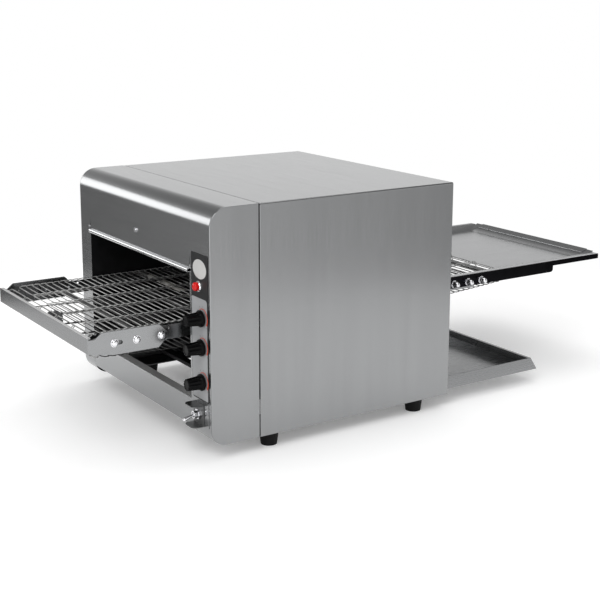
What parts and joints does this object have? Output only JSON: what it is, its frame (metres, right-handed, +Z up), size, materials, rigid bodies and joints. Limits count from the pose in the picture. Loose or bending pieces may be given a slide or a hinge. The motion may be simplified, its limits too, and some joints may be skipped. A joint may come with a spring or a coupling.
{
  "type": "conveyor toaster",
  "caption": "Counter-top conveyor toaster: a wire belt runs from a front loading table through a heated casing to an exit shelf, with knobs, toggle switch and crumb tray.",
  "frame": {"origin": "centre of the whole part's box at the feet's underside", "axes": "+X to the right as the user faces the controls, +Y from the loading table to the exit shelf, +Z up"},
  "size_m": [0.47, 1.056, 0.39],
  "materials": {
    "steel": "brushed along the width",
    "steel_dark": "brushed, in shade",
    "bright": "smooth",
    "wire": "drawn wire",
    "chamber": "heat darkened",
    "dark_steel": "plain",
    "chrome": "polished",
    "brass": "sintered bronze",
    "label": "satin film",
    "black": "moulded",
    "rubber": "moulded",
    "lamp": "red lens",
    "quartz": "clear tube",
    "ceramic": "unglazed",
    "motor": "satin"
  },
  "bodies": {
    "toaster": {"front_panel": "steel", "end_plates": "steel", "casing_cover": "steel", "rear_panel": "steel", "cable_gland": "black", "crossbar": "steel", "base_runners": "steel_dark", "feet": "rubber", "chamber_walls": "chamber", "upper_reflector": "chamber", "lower_grille": "chamber", "hood_lip": "bright", "hood_fasteners": "bright", "control_label": "label", "lamp_bezel": "chrome", "pilot_lamp": "lamp", "upper_heat_switch": "black", "lower_heat_switch": "black", "speed_regulator": "black", "switch_plate": "steel", "switch_guard": "steel_dark", "toggle_bushing": "chrome", "side_rails": "steel", "rail_brackets": "steel_dark", "support_rods": "wire", "support_bars": "wire", "arm_spacers": "bright", "front_bracket": "bright", "rear_arms": "dark_steel", "exit_shelf": "bright", "bracket_screws": "bright", "rear_blocks": "dark_steel", "drive_bushes": "brass", "drive_chain": "dark_steel", "gear_motor": "motor", "fan_frame": "black", "heater_tubes": "quartz", "heater_caps": "ceramic", "belt_upper_run": "wire", "belt_lower_run": "wire", "belt_end_turns": "wire"},
    "upper_heat": {"upper_heat_knob": "black", "upper_heat_spindle": "bright"},
    "lower_heat": {"lower_heat_knob": "black", "lower_heat_spindle": "bright"},
    "speed": {"speed_knob": "black", "speed_spindle": "bright"},
    "lever": {"toggle_lever": "chrome"},
    "takeup": {"takeup_blocks": "dark_steel", "takeup_screws": "bright"},
    "front_roll": {"front_shaft": "bright", "front_sprockets": "dark_steel"},
    "rear_roll": {"rear_shaft": "bright", "rear_rollers": "dark_steel"},
    "drive_roll": {"drive_shaft": "bright", "drive_sprockets": "dark_steel", "chain_wheel": "dark_steel"},
    "motor_output": {"motor_shaft": "bright"},
    "fan": {"fan_rotor": "black"},
    "tray": {"crumb_tray": "steel"}
  },
  "joints": [
    {"name": "upper_heat_turn", "type": "hinge", "parent": "toaster", "child": "upper_heat", "pos_m": [0.212, -0.362, 0.221], "axis": [0, 1, 0], "range_deg": [0, 270]},
    {"name": "lower_heat_turn", "type": "hinge", "parent": "toaster", "child": "lower_heat", "pos_m": [0.212, -0.362, 0.176], "axis": [0, 1, 0], "range_deg": [0, 270]},
    {"name": "speed_turn", "type": "hinge", "parent": "toaster", "child": "speed", "pos_m": [0.212, -0.362, 0.122], "axis": [0, 1, 0], "range_deg": [0, 270]},
    {"name": "lever_throw", "type": "hinge", "parent": "toaster", "child": "lever", "pos_m": [0.198, -0.3705, 0.068], "axis": [-1, 0, 0], "range_deg": [0, 30]},
    {"name": "takeup_slide", "type": "slide", "parent": "toaster", "child": "takeup", "axis": [0, 1, 0], "range_m": [0, 0.01]},
    {"name": "front_roll_spin", "type": "hinge", "parent": "takeup", "child": "front_roll", "pos_m": [-0.0165, -0.506, 0.187], "axis": [1, 0, 0], "continuous": true},
    {"name": "rear_roll_spin", "type": "hinge", "parent": "toaster", "child": "rear_roll", "pos_m": [-0.0165, 0.278, 0.193], "axis": [1, 0, 0], "continuous": true},
    {"name": "drive_roll_spin", "type": "hinge", "parent": "toaster", "child": "drive_roll", "pos_m": [-0.0165, 0.038, 0.153], "axis": [1, 0, 0], "continuous": true},
    {"name": "motor_output_spin", "type": "hinge", "parent": "toaster", "child": "motor_output", "pos_m": [0.184, -0.034, 0.102], "axis": [1, 0, 0], "continuous": true},
    {"name": "fan_spin", "type": "hinge", "parent": "toaster", "child": "fan", "pos_m": [0.2035, 0.088, 0.324], "axis": [0, 1, 0], "continuous": true},
    {"name": "tray_slide", "type": "slide", "parent": "toaster", "child": "tray", "axis": [0, 1, 0], "range_m": [0, 0.2]}
  ],
  "couplings": [
    {"joint": "front_roll_spin", "follows": "drive_roll_spin", "ratio": -1},
    {"joint": "rear_roll_spin", "follows": "drive_roll_spin", "ratio": -1.5454},
    {"joint": "motor_output_spin", "follows": "drive_roll_spin", "ratio": 1.5}
  ]
}
